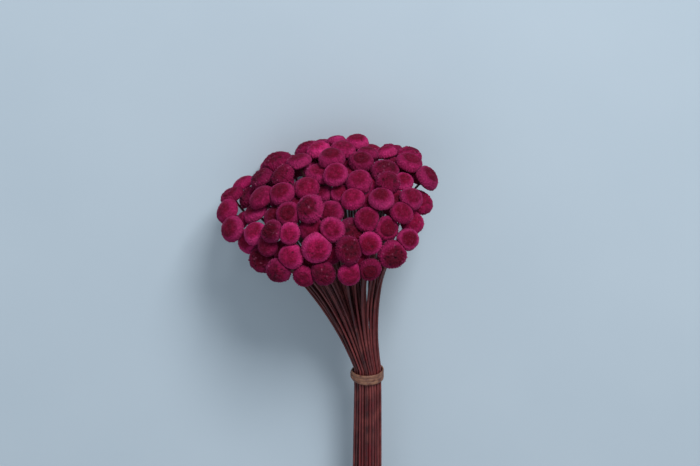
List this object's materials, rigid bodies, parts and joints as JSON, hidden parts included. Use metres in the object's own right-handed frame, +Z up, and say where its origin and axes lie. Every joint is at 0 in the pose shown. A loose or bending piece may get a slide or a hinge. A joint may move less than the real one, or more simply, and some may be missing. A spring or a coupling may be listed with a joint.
{
  "type": "dried button flower bunch",
  "caption": "Tied bunch of dyed dried button flowers: a dome of velvety crimson button heads on thin bare stems held by a rubber band, laid down.",
  "frame": {"origin": "middle of the footprint, on the surface the bunch lies on", "axes": "+Y along the stems from the cut ends to the heads, +X to the right seen from above with the heads at the top, +Z up"},
  "size_m": [0.1196, 0.4612, 0.0858],
  "materials": {
    "dyed_flower_head": "matte, velvety dense florets dyed crimson and magenta",
    "dyed_stem": "satin dried stem dyed dark mahogany, finely ridged lengthwise",
    "elastic_band": "matte natural rubber"
  },
  "bodies": {
    "root": {"button_heads_01": "dyed_flower_head", "button_heads_02": "dyed_flower_head", "button_heads_03": "dyed_flower_head", "button_heads_04": "dyed_flower_head", "button_heads_05": "dyed_flower_head", "button_heads_06": "dyed_flower_head", "button_heads_07": "dyed_flower_head", "button_heads_08": "dyed_flower_head", "button_heads_09": "dyed_flower_head", "button_heads_10": "dyed_flower_head", "button_heads_11": "dyed_flower_head", "button_heads_12": "dyed_flower_head", "button_heads_13": "dyed_flower_head", "button_heads_14": "dyed_flower_head", "button_heads_15": "dyed_flower_head", "button_heads_16": "dyed_flower_head", "button_heads_17": "dyed_flower_head", "button_heads_18": "dyed_flower_head", "button_heads_19": "dyed_flower_head", "button_heads_20": "dyed_flower_head", "button_heads_21": "dyed_flower_head", "button_heads_22": "dyed_flower_head", "button_heads_23": "dyed_flower_head", "button_heads_24": "dyed_flower_head", "button_heads_25": "dyed_flower_head", "button_heads_26": "dyed_flower_head", "button_heads_27": "dyed_flower_head", "button_heads_28": "dyed_flower_head", "button_heads_29": "dyed_flower_head", "button_heads_30": "dyed_flower_head", "button_heads_31": "dyed_flower_head", "button_heads_32": "dyed_flower_head", "button_heads_33": "dyed_flower_head", "button_heads_34": "dyed_flower_head", "button_heads_35": "dyed_flower_head", "button_heads_36": "dyed_flower_head", "button_heads_37": "dyed_flower_head", "button_heads_38": "dyed_flower_head", "button_heads_39": "dyed_flower_head", "button_heads_40": "dyed_flower_head", "button_heads_41": "dyed_flower_head", "button_heads_42": "dyed_flower_head", "button_heads_43": "dyed_flower_head", "button_heads_44": "dyed_flower_head", "button_heads_45": "dyed_flower_head", "button_heads_46": "dyed_flower_head", "button_heads_47": "dyed_flower_head", "button_heads_48": "dyed_flower_head", "button_heads_49": "dyed_flower_head", "button_heads_50": "dyed_flower_head", "button_heads_51": "dyed_flower_head", "stems": "dyed_stem", "elastic_band": "elastic_band"}
  },
  "joints": []
}
